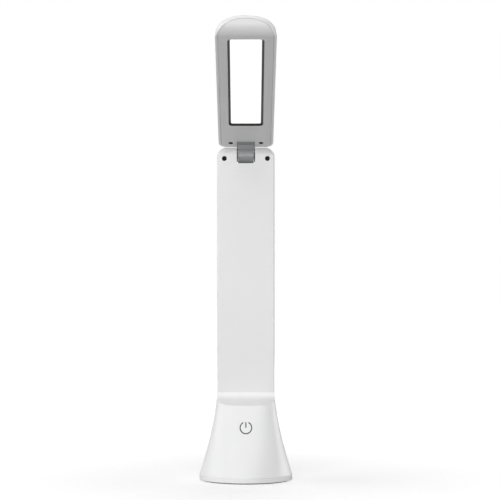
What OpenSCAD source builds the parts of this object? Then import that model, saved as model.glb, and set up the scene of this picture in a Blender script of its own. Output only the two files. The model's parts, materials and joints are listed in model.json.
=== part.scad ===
// Folding desk lamp: a flared base, a flat column and a light head on a friction hinge.
// X points right, -Y to the front, +Z up; the origin is the centre of the pad's underside.

/* [Base] */
// Diameter of the foot
base_dia = 87; // [84:0.5:100]
// Height of the seam between base and column
base_h = 82; // [78:1:92]
// Wall of the base moulding
base_wall = 2.2; // [1.8:0.1:2.4]
// How late the base flares out towards the foot
flare_power = 1.55; // [1.3:0.05:1.8]
// Squareness of the base's front at its top, 2 is an ellipse
front_power = 3.1; // [2.4:0.1:4]
// Step from the column's side out to the base
seam_step = 0.25; // [0.1:0.05:0.6]
// Radius of the hollow where the ledge meets the column
ledge_r = 6.3; // [4:0.1:7]
// Downward slope of the ledge in degrees
ledge_slope = 27; // [15:1:32]
// Height of the foot plate's rim
rim_h = 4.2; // [3.8:0.1:5]
// Thickness of the foot plate's floor
plate_t = 2; // [1.8:0.1:2.4]
// Height of the foot plate's spigot inside the base
spigot_h = 3; // [2:0.5:4]
// Thickness of the anti-slip pad
pad_t = 1; // [0.8:0.1:1.6]
// How far the pad is set in from the rim
pad_inset = 3; // [2:0.5:6]
// How far the foot screws stand in from the rim
foot_screw_inset = 7.5; // [7:0.1:8]
// Length of thread that each screw holds with
thread_grip = 6; // [4:0.5:8]

/* [Column] */
// Width of the column
column_w = 54; // [53:0.5:58]
// Thickness of the column
column_t = 15; // [14.5:0.1:16]
// Height of the hinge axis
axis_h = 304; // [270:1:340]
// Corner radius at the top of the column, seen from the front
column_corner_r = 8.5; // [6:0.5:9]
// Rounding of the column's front edges
front_edge_r = 1.5; // [0.8:0.1:2]
// Wall of the column's mouldings
column_wall = 2; // [1.6:0.1:2.2]
// How far the column reaches down into the base
tenon_l = 20; // [14:1:22]

/* [Hinge] */
// Width of the notches that hold the hinge block
notch_w = 17; // [16:0.5:18]
// Diameter of the hinge shaft
shaft_dia = 6; // [5.5:0.1:6.4]
// Bore of the shaft that the lead passes through
shaft_bore = 3.4; // [3:0.1:4]
// Running clearance of the shaft, on the radius
shaft_clearance = 0.05; // [0.02:0.01:0.08]
// Gap between the folded head and the column
head_gap = 0.6; // [0.5:0.05:1]
// Thickness of the friction washers
washer_t = 0.8; // [0.6:0.05:1]
// Diameter of the friction washers
washer_dia = 12; // [10:0.5:13.5]
// Thickness of the steel hinge brackets
bracket_t = 1.5; // [1.2:0.1:1.6]
// Distance from the centre line to each column screw
column_screw_x = 20.2; // [20:0.1:21]
// How far the column screws lie below the hinge axis
column_screw_drop = 3; // [2:0.5:6]

/* [Head] */
// Angle of the head from upright, as the lamp stands
head_angle = 66.4; // [5:0.1:150]
// How far the folded head's tip reaches below the seam
tip_reach = 1.5; // [-4:0.5:4]
// Width of the head at the bend before its tip
head_w = 52.7; // [51:0.1:56]
// How much narrower the head is at its hinge end
head_taper = 1.5; // [0:0.1:3]
// Thickness of the head along its middle
head_t = 14; // [13.5:0.1:15.5]
// Thickness of the head's edge
edge_t = 2.5; // [2:0.1:3.5]
// Radius of the bend at the tip
nose_r = 12.5; // [11:0.1:13]
// Fullness of the tip's outline, 2 for half an ellipse
tip_power = 1.8; // [1.6:0.1:2.4]
// Corner radius at the head's hinge end
head_corner_r = 8.5; // [6:0.5:10]
// Distance from the hinge axis to the head's end
head_start = 1.3; // [1:0.1:2]
// Length of the notch in the head, from the hinge axis
head_notch_l = 13.3; // [12.8:0.1:15]
// Width of the shell's rim round the bezel
head_rim = 2.3; // [2:0.1:3]
// Wall of the head shell
head_wall = 1.8; // [1.5:0.1:2.2]
// Thickness of the bezel
bezel_t = 2; // [1.8:0.1:2.2]
// Distance from the centre line to each head screw
head_screw_x = 14.2; // [13.6:0.1:15]

/* [Light] */
// Distance from the hinge axis to the light window
window_start = 47.5; // [24:0.5:90]
// Width of the light window
window_w = 27.6; // [24:0.2:30]
// Distance from the window to the bend
window_gap = 6; // [4.5:0.5:10]
// Width of the sloped frame round the window
slope_w = 2; // [1.5:0.1:2.5]
// Depth of the diffuser behind the bezel's face
slope_d = 1.5; // [1:0.1:1.7]
// Thickness of the diffuser
diffuser_t = 1.6; // [1.2:0.1:2]
// Thickness of the circuit boards
board_t = 1.2; // [1:0.1:1.6]
// Light-emitting chips along each row
chip_count = 12; // [8:1:16]

/* [Power] */
// Diameter of the battery cell
cell_dia = 18.4; // [16:0.1:18.6]
// Length of the battery cell
cell_l = 65; // [50:1:66]
// How far the steel counterweight stands in from the rim
weight_inset = 12.5; // [12:0.5:16]
// Thickness of the steel counterweight
weight_t = 6; // [4:0.5:6.5]
// Height of the power symbol on the base
symbol_h = 50.4; // [46:0.2:52]
// Diameter of the power symbol
symbol_dia = 11.6; // [9:0.2:14]
// Width of the power symbol's line
symbol_line = 0.9; // [0.6:0.1:1.4]
// Diameter of the internal leads
lead_dia = 2.2; // [1.8:0.1:2.4]

/* [Hidden] */
$fn = 48;

shell_white = [0.93, 0.93, 0.93];
hinge_grey = [0.62, 0.62, 0.62];
frame_dark = [0.12, 0.12, 0.13];
steel = [0.7, 0.71, 0.72];
screw_black = [0.06, 0.06, 0.06];
board_green = [0.08, 0.3, 0.16];

eps = 0.01;
through = 200;
fit = 0.1;
part_gap = 0.3;

// Places in the stand
axis_y = column_t/2;
column_top = axis_h + axis_y;
ledge_d = head_gap + head_t;
seat_z = pad_t + rim_h;
floor_z = pad_t + plate_t;
barrel_r = axis_y - part_gap;
barrel_w = notch_w - 2*(washer_t + part_gap);
sill_z = axis_h - axis_y - head_gap/2;
ear_wall_x = notch_w/2 + column_wall;
bracket_x = ear_wall_x + bracket_t;
tenon_inset = base_wall + 2*fit;
tenon_wall = 1.6;
tab_y = axis_y;
tab_end = column_w/2 - axis_y + sqrt(pow(axis_y - column_wall - part_gap, 2) - pow(bracket_t, 2));
tab_drop = 7;
screw_z = axis_h - column_screw_drop;
flange_t = 1.2;
nut_t = 4;
nut_r = (shaft_dia + 3)/2/cos(30);
spring_washer_t = 0.8;
nut_x = bracket_x + spring_washer_t;
shaft_end = nut_x + nut_t + 0.4;

// Places in the head, measured from the hinge axis
face_y = axis_y + head_gap;
head_l = axis_h - base_h + tip_reach;
bend_z = head_l - nose_r;
window_end = bend_z - window_gap;
window_l = window_end - window_start;
window_mid = (window_start + window_end)/2;
tongue_t = 4.3;
neck_r = 6;
head_screw_z = head_notch_l - 3;
board_depth = slope_d + diffuser_t + 4;
led_board_w = window_w - 3.6;
led_board_l = window_l - 4;
led_screw_z = led_board_l/2 - 3;
chip = [2.8, 3.5, 0.7];
chip_margin = 8;
lead_slope = 26;

// Places of what stands in the base
cell_z = floor_z + weight_t + 2 + cell_dia/2;
board_z = cell_z + cell_dia/2 + 3.4;
post_x = 19;
post_y = cell_dia/2 + 3;
touch_y = post_y + 1.6;
touch_board_w = 18;
usb = [8.94, 7.35, 3.26];
foot_screw_dia = 2.6;
small_screw_dia = 1.8;
screw_recess = 2.6;
spring_wire = 0.6;
spring_dia = 7;
symbol_t = 0.6;
boss_z = seat_z + spigot_h;
boss_r = foot_screw_inset - 4.5;

function mix(a, b, t) = a + (b - a)*t;
function reversed(v) = [for (i = [len(v) - 1:-1:0]) v[i]];

// Share of the full flare at height z: 0 at the seam, 1 at the foot
function flare(z) = pow(min(1, (base_h - z)/(base_h - seat_z)), flare_power);
function base_front(z) = mix(ledge_d, base_dia/2, flare(z));
function base_back(z) = mix(column_t, base_dia/2, flare(z));
usb_y = base_back(board_z + board_t + usb[2]) - 0.4;

// Half outline of the base at height z, from the back round one side to the front
function base_half(z, inset, steps) =
  let (
    t = flare(z),
    mid = mix(axis_y, 0, t),
    wide = mix(column_w/2 + seam_step, base_dia/2, t) - inset,
    back = base_back(z) - inset - mid,
    front = base_front(z) - inset + mid,
    flat = mix(column_w/2 - axis_y, 0.2, t),
    e = 2/mix(front_power, 2, t)
  )
  concat(
    [for (i = [0:steps]) let (a = 90 - 90*i/steps) [flat + (wide - flat)*cos(a), mid + back*sin(a)]],
    [for (i = [1:steps]) let (a = 90*i/steps)
      [wide*pow(cos(a), e)*(i < steps ? 1 : 0), mid - front*pow(sin(a), e)]]
  );

function base_ring(z, inset, steps) =
  let (half = base_half(z, inset, steps), last = len(half) - 1)
  [for (p = concat(reversed(half), [for (i = [0:last - 1]) [-half[i][0], half[i][1]]]))
    [p[0], p[1], z]];

// Closed skin over rings of points that run anticlockwise along the way they are stacked
module skin(rings) {
  n = len(rings[0]);
  last = len(rings) - 1;
  polyhedron(
    points = [for (ring = rings) each ring],
    faces = concat(
      [[for (i = [0:n - 1]) i]],
      [[for (i = [n - 1:-1:0]) last*n + i]],
      [for (k = [0:last - 1], i = [0:n - 1])
        [k*n + i, (k + 1)*n + i, (k + 1)*n + (i + 1)%n, k*n + (i + 1)%n]]
    ),
    convexity = 6
  );
}

function unit(v) = v/norm(v);

// Rings of a round wire along a route, none of whose steps is parallel to side
function wire_rings(route, r, side, sides) =
  [for (i = [0:len(route) - 1])
    let (
      along = unit(route[min(i + 1, len(route) - 1)] - route[max(i - 1, 0)]),
      u = unit(cross(along, side)),
      v = cross(along, u)
    )
    [for (k = [0:sides - 1]) route[i] + r*(u*cos(360*k/sides) + v*sin(360*k/sides))]];

// Extrudes a (Y, Z) outline along X, centred
module across(w) {
  translate([-w/2, 0, 0]) rotate([90, 0, 90]) linear_extrude(w) children();
}

// Extrudes an (X, Z) outline along Y, from y0 to y1
module through_y(y0, y1) {
  translate([0, y1, 0]) rotate([90, 0, 0]) linear_extrude(y1 - y0) children();
}

module x_rod(x0, x1, r) {
  translate([x0, 0, 0]) rotate([0, 90, 0]) cylinder(h = x1 - x0, r = r);
}

module y_rod(y0, y1, r) {
  translate([0, y0, 0]) rotate([-90, 0, 0]) cylinder(h = y1 - y0, r = r);
}

module both_sides() {
  children();
  mirror([1, 0, 0]) children();
}

module at_axis() {
  translate([0, axis_y, axis_h]) children();
}

// Head frame: Z runs along the head from the hinge axis, Y from its light face to its back
module at_head() {
  at_axis() rotate([head_angle, 0, 0]) children();
}

module box(x0, x1, y0, y1, z0, z1) {
  translate([x0, y0, z0]) cube([x1 - x0, y1 - y0, z1 - z0]);
}

// Rectangle with round corners, centred
module round_rect(w, h, r) {
  square([w - 2*r, h], center = true);
  square([w, h - 2*r], center = true);
  for (sx = [-1, 1], sy = [-1, 1])
    translate([sx*(w/2 - r), sy*(h/2 - r)]) circle(r);
}

// ---- Base ----

module base_skin(z0, z1, inset, rings, steps) {
  skin([for (k = [0:rings]) base_ring(mix(z0, z1, k/rings), inset, steps)]);
}

// Everything above the ledge: a hollow beside the column, then a slope to the front
module ledge_cut(grow) {
  turn = 90 - ledge_slope;
  r = ledge_r + grow;
  foot = [-ledge_r + r*cos(turn), base_h - r*sin(turn)];
  reach = base_dia;
  across(through) polygon(concat(
    [[grow, base_h + reach], [-reach, base_h + reach]],
    [[-reach, foot[1] - (reach + foot[0])*tan(ledge_slope)]],
    [for (i = [0:10]) let (a = turn*(1 - i/10)) [-ledge_r + r*cos(a), base_h - r*sin(a)]]
  ));
}

module foot_screw_places() {
  for (a = [45:90:315]) rotate([0, 0, a]) translate([base_dia/2 - foot_screw_inset, 0, 0]) children();
}

module symbol_outline() {
  r = symbol_dia/2;
  gap = 27;
  difference() {
    circle(r);
    circle(r - symbol_line);
    polygon([[0, 0], [-2*r*tan(gap), 2*r], [2*r*tan(gap), 2*r]]);
  }
  translate([-symbol_line/2, 0]) square([symbol_line, r]);
}

module symbol_prism() {
  translate([0, 0, symbol_h]) through_y(-base_dia, 0) symbol_outline();
}

module base_housing() {
  color(shell_white) {
    difference() {
      base_skin(seat_z, base_h, 0, 18, 16);
      ledge_cut(0);
      difference() {
        base_skin(seat_z - 1, base_h - base_wall, base_wall, 12, 12);
        ledge_cut(base_wall);
        intersection() {
          foot_screw_places() translate([0, 0, boss_z]) cylinder(h = 2*thread_grip, r = boss_r);
          base_skin(seat_z, base_h, base_wall/2, 12, 12);
        }
      }
      translate([0, 0, base_h - 3*base_wall]) linear_extrude(through) column_plan(tenon_inset - fit);
      box(-usb[0]/2 - fit, usb[0]/2 + fit, 0, base_dia,
        board_z + board_t - fit, board_z + board_t + usb[2] + fit);
      foot_screw_places() translate([0, 0, boss_z - eps])
        cylinder(h = thread_grip + 1, r = foot_screw_dia/2);
      difference() {
        symbol_prism();
        base_skin(seat_z - 1, base_h, symbol_t, 12, 16);
      }
    }
  }
}

module power_symbol() {
  color([0.25, 0.25, 0.26])
    intersection() {
      symbol_prism();
      base_skin(seat_z, base_h, 0, 18, 16);
      difference() {
        symbol_prism();
        base_skin(seat_z - 1, base_h, symbol_t, 12, 16);
      }
    }
}

module base_plate() {
  spigot_r = base_front(seat_z + spigot_h) - base_wall - part_gap;
  color(shell_white)
    difference() {
      union() {
        translate([0, 0, pad_t]) cylinder(h = rim_h, d = base_dia, $fn = 96);
        translate([0, 0, seat_z - eps]) cylinder(h = spigot_h, r = spigot_r, $fn = 96);
      }
      difference() {
        translate([0, 0, floor_z]) cylinder(h = through, r = spigot_r - 1.6, $fn = 96);
        foot_screw_places() translate([0, 0, floor_z - 1]) cylinder(h = boss_z - floor_z + 1, r = boss_r);
      }
      foot_screw_places() {
        cylinder(h = through, r = foot_screw_dia/2 + 2*fit);
        translate([0, 0, pad_t - 1]) cylinder(h = 1 + plate_t/2, r = foot_screw_dia + 2*fit);
      }
    }
}

module anti_slip_pad() {
  color([0.2, 0.2, 0.2]) cylinder(h = pad_t, d = base_dia - 2*pad_inset, $fn = 96);
}

module counterweight() {
  color(steel) translate([0, 0, floor_z]) cylinder(h = weight_t, d = base_dia - 2*weight_inset, $fn = 96);
}

// Cross-recessed screw: its head stands on the XY plane and its shank runs along +Z
module screw(head_r, head_h, shank_r, length) {
  arm = head_r*1.2;
  slot = head_r/4;
  difference() {
    union() {
      cylinder(h = head_h, r = head_r);
      translate([0, 0, head_h - eps]) cylinder(h = length, r = shank_r);
    }
    for (a = [0, 90]) rotate([0, 0, a])
      translate([-arm/2, -slot/2, -1]) cube([arm, slot, 1 + head_h/2]);
  }
}

module base_screws() {
  color(screw_black)
    foot_screw_places() translate([0, 0, pad_t])
      screw(foot_screw_dia, plate_t/2, foot_screw_dia/2, boss_z - pad_t - plate_t/2 + thread_grip);
}

module post_places() {
  for (sx = [-1, 1], sy = [-1, 1]) translate([sx*post_x, sy*post_y, 0]) children();
}

module battery_carrier() {
  bottom = floor_z + weight_t;
  color([0.15, 0.15, 0.15])
    difference() {
      union() {
        translate([0, 0, bottom]) linear_extrude(cell_z - cell_dia/4 - bottom)
          round_rect(2*post_x + 6, 2*post_y + 5, 2);
        post_places() translate([0, 0, bottom]) cylinder(h = board_z - bottom, r = 2.2);
      }
      translate([0, 0, cell_z]) x_rod(-cell_l/2 - 1, cell_l/2 + 1, cell_dia/2 + fit/2);
      post_places() translate([0, 0, board_z - thread_grip])
        cylinder(h = 2*thread_grip, r = small_screw_dia/2);
    }
}

module battery_cell() {
  color([0.15, 0.35, 0.6]) translate([0, 0, cell_z]) {
    x_rod(-cell_l/2, cell_l/2 - 1, cell_dia/2);
    x_rod(cell_l/2 - 1 - eps, cell_l/2, 4);
  }
}

module main_board() {
  back = usb_y - 2;
  color(board_green)
    difference() {
      union() {
        box(-post_x - 3, post_x + 3, -touch_y - board_t, post_y + 3, board_z, board_z + board_t);
        box(-usb[0], usb[0], 0, back, board_z, board_z + board_t);
      }
      post_places() translate([0, 0, board_z - 1]) cylinder(h = 4, r = small_screw_dia/2 + fit);
    }
}

module board_screws() {
  color(steel)
    post_places() translate([0, 0, board_z + board_t + small_screw_dia/2]) rotate([180, 0, 0])
      screw(small_screw_dia, small_screw_dia/2, small_screw_dia/2, board_t + thread_grip/2);
}

module usb_socket() {
  color(steel)
    difference() {
      translate([0, 0, board_z + board_t + usb[2]/2]) through_y(usb_y - usb[1], usb_y)
        round_rect(usb[0], usb[2], 1.2);
      translate([0, 0, board_z + board_t + usb[2]/2]) through_y(usb_y - 6, usb_y + 1)
        round_rect(usb[0] - 0.7, usb[2] - 0.7, 0.9);
    }
}

module touch_board() {
  color(board_green)
    box(-touch_board_w/2, touch_board_w/2, -touch_y - board_t, -touch_y,
      board_z + board_t, symbol_h + touch_board_w/2 - 1);
}

// Sprung contact between the touch board and the inside of the base's front
module touch_spring() {
  y0 = -touch_y - board_t - spring_wire/2;
  y1 = -base_front(symbol_h + spring_dia/2) + base_wall + spring_wire/2 + 2*fit;
  turns = 4;
  steps = 12*turns;
  r = (spring_dia - spring_wire)/2;
  color(steel) translate([0, 0, symbol_h])
    skin(wire_rings(
      [for (i = [0:steps]) [r*cos(30*i), mix(y0, y1, i/steps), r*sin(30*i)]],
      spring_wire/2, [0, 1, 0], 6));
}

// ---- Column ----

module column_plan(inset) {
  back_r = column_t/2;
  edge = max(front_edge_r - inset, 0.2);
  w = column_w - 2*inset;
  translate([-w/2, inset + edge]) square([w, axis_y - inset - edge]);
  translate([-w/2 + edge, inset]) square([w - 2*edge, axis_y]);
  translate([-column_w/2 + back_r, axis_y - eps]) square([column_w - 2*back_r, back_r - inset + eps]);
  for (s = [-1, 1]) {
    translate([s*(w/2 - edge), inset + edge]) circle(edge);
    intersection() {
      translate([s*(column_w/2 - back_r), axis_y]) circle(back_r - inset);
      translate([-column_w, axis_y - eps]) square([2*column_w, column_t]);
    }
  }
}

module column_front_view(inset) {
  r = column_corner_r - inset;
  w = column_w - 2*inset;
  top = column_top - inset;
  translate([-w/2, 0]) square([w, top - r]);
  translate([-w/2 + r, 0]) square([w - 2*r, top]);
  both_sides() translate([w/2 - r, top - r]) circle(r);
}

module column_block(inset) {
  intersection() {
    translate([0, 0, base_h]) linear_extrude(column_top - base_h + 1) column_plan(inset);
    through_y(-1, column_t + 1) column_front_view(inset);
    across(column_w + 2) union() {
      translate([inset, 0]) square([column_t - 2*inset, axis_h]);
      translate([axis_y, axis_h]) circle(axis_y - inset);
    }
  }
}

module tenon_block(inset) {
  translate([0, 0, base_h - tenon_l]) linear_extrude(tenon_l + column_wall + eps) column_plan(inset);
}

module notch_block(grow) {
  box(-notch_w/2 - grow, notch_w/2 + grow, -through, through, sill_z - grow, column_top + 1);
}

module column_hollow() {
  difference() {
    column_block(column_wall);
    notch_block(column_wall);
    box(-column_w, column_w, -1, column_t + 1, base_h - 1, base_h + column_wall);
  }
  translate([0, 0, -eps]) tenon_block(tenon_inset + tenon_wall);
  translate([0, 0, eps]) tenon_block(tenon_inset + tenon_wall);
}

module column_body() {
  difference() {
    union() {
      column_block(0);
      tenon_block(tenon_inset);
    }
    column_hollow();
    notch_block(0);
    at_axis() x_rod(-ear_wall_x - eps, ear_wall_x + eps, shaft_dia/2 + fit);
  }
}

module column_screw_places() {
  both_sides() translate([column_screw_x, 0, screw_z]) children();
}

module column_rear() {
  color(shell_white)
    difference() {
      union() {
        intersection() {
          column_body();
          box(-column_w, column_w, axis_y, through, 0, 2*axis_h);
        }
        column_screw_places() y_rod(tab_y + bracket_t, column_t - column_wall + eps, 2.6);
      }
      column_screw_places() y_rod(0, column_t - 1, 0.9);
    }
}

module column_cover() {
  color(shell_white)
    difference() {
      union() {
        intersection() {
          column_body();
          box(-column_w, column_w, -1, axis_y, 0, 2*axis_h);
        }
        column_screw_places() y_rod(column_wall - eps, tab_y, 2.6);
      }
      column_screw_places() {
        y_rod(-1, through, 1.2);
        y_rod(-1, screw_recess, 2.25);
      }
    }
}

module column_screws() {
  color(screw_black)
    column_screw_places() translate([0, screw_recess - 1.1, 0]) rotate([-90, 0, 0])
      screw(2.1, 1.1, small_screw_dia/2, column_t - screw_recess - column_wall + 0.5);
}

// Power lead from the main board, up the column and into the end of the hollow shaft
module column_lead() {
  lead_x = bracket_x + flange_t + 2;
  low_x = usb[0];
  bend = 2.4;
  past_tab = tab_y - lead_dia/2 - 0.5;
  route = concat(
    [[low_x, axis_y, board_z + board_t], [low_x, axis_y, base_h - tenon_l],
      [mix(low_x, lead_x, 0.5), axis_y, base_h + tenon_l], [lead_x, axis_y, base_h + 3*tenon_l]],
    [[lead_x, past_tab, axis_h - column_t], [lead_x, past_tab, axis_h - bend]],
    [for (a = [20:20:80])
      [lead_x - bend + bend*cos(a), mix(past_tab, axis_y, sin(a)), axis_h - bend + bend*sin(a)]],
    [[lead_x - 3, axis_y, axis_h], [1.8, axis_y, axis_h]]
  );
  color([0.8, 0.1, 0.1]) skin(wire_rings(route, lead_dia/2, [0, 1, 0], 8));
}

// ---- Hinge ----

// Right-hand bracket: an upright that holds the shaft and a tab under the column screw
module bracket() {
  difference() {
    union() {
      intersection() {
        box(ear_wall_x, bracket_x, column_wall + fit, tab_y + bracket_t, screw_z - tab_drop, axis_h + axis_y);
        at_axis() union() {
          x_rod(0, column_w, axis_y - column_wall - fit);
          box(0, column_w, -axis_y, axis_y, -column_t, 0);
        }
      }
      box(ear_wall_x, tab_end, tab_y, tab_y + bracket_t, screw_z - tab_drop, screw_z + 2.8);
    }
    at_axis() {
      x_rod(0, column_w, shaft_dia/2 + shaft_clearance);
      x_rod(bracket_x, shaft_end + part_gap, nut_r + 0.5);
    }
    translate([column_screw_x, 0, screw_z]) y_rod(0, column_t, 1.2);
  }
}

module hinge_bracket_right() {
  color(steel) bracket();
}

module hinge_bracket_left() {
  color(steel) mirror([1, 0, 0]) bracket();
}

// Hollow shaft: a flange on the right, the nut's thread on the left, a window for the lead
module hinge_shaft() {
  reach = 2*shaft_dia;
  color(steel) at_axis()
    difference() {
      union() {
        x_rod(-shaft_end, bracket_x + eps, shaft_dia/2);
        x_rod(bracket_x, bracket_x + flange_t, shaft_dia/2 + 1.6);
      }
      x_rod(-column_w, column_w, shaft_bore/2);
      across(5) polygon([[0, 0],
        for (a = [lead_slope - 50:40:lead_slope + 230]) [reach*cos(a), reach*sin(a)]]);
    }
}

module friction_washers() {
  color([0.35, 0.3, 0.22]) at_axis()
    both_sides() difference() {
      x_rod(notch_w/2 - washer_t, notch_w/2, washer_dia/2);
      x_rod(0, column_w, shaft_dia/2 + shaft_clearance);
    }
}

module spring_washer() {
  color(steel) at_axis()
    difference() {
      x_rod(-nut_x, -bracket_x, shaft_dia/2 + 1.7);
      x_rod(-column_w, 0, shaft_dia/2 + shaft_clearance);
    }
}

module shaft_nut() {
  color(steel) at_axis()
    difference() {
      translate([-nut_x - nut_t, 0, 0]) rotate([0, 90, 0])
        cylinder(h = nut_t, r = nut_r, $fn = 6);
      x_rod(-column_w, 0, shaft_dia/2 + shaft_clearance);
    }
}

// ---- Head, in the head frame ----

// Half width of the head at the distance z from the hinge axis
function head_half(z) = mix(head_w - head_taper, head_w, (z - head_start)/(bend_z - head_start))/2;

// Tip outline: half an oval drawn on the bent face, seen square to the light face
function tip_points(half, run, steps) =
  [for (i = [0:steps]) let (a = 180*i/steps, e = 2/tip_power)
    [half*sign(cos(a))*pow(abs(cos(a)), e),
      bend_z + nose_r*sin((run/nose_r)*pow(abs(sin(a)), e)*180/PI)]];

module head_plan(inset) {
  r = head_corner_r - inset;
  low = head_start + inset;
  low_half = head_half(head_start + head_corner_r) - inset;
  run = nose_r*PI/2 - inset;
  polygon(concat(
    tip_points(head_w/2 - inset, run, 28),
    [for (i = [0:6]) let (a = 180 + 15*i) [-low_half + r + r*cos(a), low + r + r*sin(a)]],
    [for (i = [0:6]) let (a = 270 + 15*i) [low_half - r + r*cos(a), low + r + r*sin(a)]]
  ));
}

// Side view of the head, (depth, length): flat light face, bent tip, rounded hinge end
module head_side(depth, inset) {
  end_r = 6;
  difference() {
    union() {
      translate([depth, head_start + inset]) square([head_t - depth - inset, bend_z - head_start - inset]);
      intersection() {
        translate([nose_r, bend_z]) circle(nose_r - depth, $fn = 96);
        translate([0, bend_z - eps]) square([nose_r, head_l]);
      }
      translate([nose_r - eps, bend_z - eps]) square([head_t - nose_r - inset + eps, nose_r - depth + eps]);
    }
    translate([head_t - end_r, head_start + end_r]) difference() {
      translate([0, -end_r - 1]) square([end_r + 1, end_r + 1]);
      circle(end_r - inset);
    }
  }
}

module head_section(inset) {
  half = head_w/2 - inset;
  polygon(concat(
    [[half, -1], [half, edge_t]],
    [for (i = [1:17]) let (a = 10*i) [half*cos(a), edge_t + (head_t - inset - edge_t)*sin(a)]],
    [[-half, edge_t], [-half, -1]]
  ));
}

// Solid of the head: depth is how far its light face is cut back
module head_solid(plan_inset, wall, depth) {
  translate([0, face_y, 0]) intersection() {
    through_y(-1, head_t + 1) head_plan(plan_inset);
    across(head_w + 2) head_side(depth, wall);
    linear_extrude(head_l + 1) head_section(wall);
  }
}

module head_notch() {
  box(-notch_w/2, notch_w/2, 0, face_y + tongue_t + fit, -neck_r - 1, head_notch_l);
}

module head_screw_places() {
  both_sides() translate([head_screw_x, face_y, head_screw_z]) children();
}

module led_screw_places() {
  for (s = [-1, 1]) translate([0, face_y, window_mid + s*led_screw_z]) children();
}

module head_shell() {
  color(shell_white) at_head()
    difference() {
      head_solid(0, 0, 0);
      difference() {
        head_solid(head_rim, head_wall, -1);
        head_screw_places() y_rod(tongue_t, head_t, 3);
        led_screw_places() y_rod(board_depth + board_t, head_t, 2.6);
      }
      head_notch();
      head_screw_places() y_rod(0, tongue_t + 6, 1);
      led_screw_places() y_rod(0, board_depth + board_t + 3, 0.8);
    }
}

module window_hole(grow, y0, y1) {
  translate([0, face_y, window_mid]) through_y(y0, y1)
    round_rect(window_w + 2*grow, window_l + 2*grow, 1.5 + grow);
}

module head_bezel() {
  color(shell_white) at_head()
    difference() {
      head_solid(head_rim + fit, head_rim + fit, 0);
      translate([0, face_y, 0]) across(head_w) difference() {
        head_side(bezel_t, -4);
        translate([-through/2, -through]) square([through, through + head_start + head_rim + fit]);
      }
      head_notch();
      window_hole(slope_w, -1, bezel_t + 1);
      head_screw_places() {
        y_rod(-1, bezel_t + 1, 1.3);
        y_rod(-1, bezel_t - 0.7, 2.2);
      }
    }
}

// Dark frame that slopes from the bezel's face down to the diffuser
module window_frame() {
  flange = 2;
  back = slope_d + diffuser_t;
  color(frame_dark) at_head()
    difference() {
      union() {
        window_hole(slope_w - fit/2, 0, bezel_t + eps);
        window_hole(slope_w + flange, bezel_t, back);
      }
      window_hole(0, -1, back + 1);
      hull() {
        window_hole(slope_w - fit, -0.1, 0);
        window_hole(0, slope_d, slope_d + 0.1);
      }
    }
}

module diffuser() {
  color([1, 1, 0.97]) at_head() window_hole(-fit/2, slope_d, slope_d + diffuser_t);
}

module led_board() {
  color(board_green) at_head()
    difference() {
      box(-led_board_w/2, led_board_w/2, face_y + board_depth, face_y + board_depth + board_t,
        window_mid - led_board_l/2, window_mid + led_board_l/2);
      led_screw_places() y_rod(0, head_t, 1);
    }
}

module led_chips() {
  pitch = (led_board_l - 2*chip_margin)/(chip_count - 1);
  color([0.95, 0.85, 0.3]) at_head()
    for (i = [0:chip_count - 1]) both_sides()
      translate([led_board_w/4 - chip[0]/2, face_y + board_depth - chip[2],
        window_mid + (i - (chip_count - 1)/2)*pitch - chip[1]/2])
        cube([chip[0], chip[2], chip[1]]);
}

module led_screws() {
  color(steel) at_head()
    led_screw_places() translate([0, board_depth - 1, 0]) rotate([-90, 0, 0])
      screw(1.7, 1, 0.8, board_t + 2.5);
}

module head_screws() {
  color(screw_black) at_head()
    head_screw_places() translate([0, bezel_t - 0.7 - 1, 0]) rotate([-90, 0, 0])
      screw(2, 1, 1, tongue_t + 3);
}

// Barrel on the shaft, neck through the column's notch, tongue and wings inside the head
module hinge_block() {
  color(hinge_grey) at_head()
    difference() {
      union() {
        x_rod(-barrel_w/2, barrel_w/2, barrel_r);
        box(-barrel_w/2, barrel_w/2, 0, face_y, -neck_r, neck_r);
        box(-notch_w/2 + fit, notch_w/2 - fit, axis_y + 0.4, face_y + tongue_t, -neck_r, head_notch_l - fit);
        box(-head_screw_x - 4.5, head_screw_x + 4.5, face_y + bezel_t, face_y + tongue_t,
          head_start + head_rim + 0.4, head_notch_l - fit);
      }
      x_rod(-column_w, column_w, shaft_dia/2 + shaft_clearance);
      rotate([lead_slope, 0, 0]) y_rod(0, column_w, lead_dia/2 + 0.5);
      head_screw_places() y_rod(0, head_t, 1.3);
    }
}

// Lead from inside the hollow shaft, through the hinge block, to the end of the LED board
module head_lead() {
  exit = face_y + tongue_t + 1;
  deep = face_y + board_depth + board_t/2;
  route = [[0, 0, 0], [0, exit/2, exit/2*tan(lead_slope)], [0, exit, exit*tan(lead_slope)],
    [0, mix(exit, deep, 0.7), exit*tan(lead_slope) + 3], [0, deep, exit*tan(lead_slope) + 8],
    [0, deep, window_mid - led_board_l/2]];
  color([0.8, 0.1, 0.1]) at_head() skin(wire_rings(route, lead_dia/2, [1, 0, 0], 8));
}

base_housing();
base_plate();
anti_slip_pad();
counterweight();
battery_carrier();
battery_cell();
main_board();
usb_socket();
touch_board();
touch_spring();
power_symbol();
base_screws();
board_screws();
column_rear();
column_cover();
column_screws();
column_lead();
hinge_bracket_left();
hinge_bracket_right();
hinge_shaft();
friction_washers();
spring_washer();
shaft_nut();
hinge_block();
head_shell();
head_bezel();
window_frame();
diffuser();
led_board();
led_chips();
led_screws();
head_screws();
head_lead();
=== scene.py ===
import json
import math

import bmesh
import bpy
from mathutils import Matrix, Vector


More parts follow.
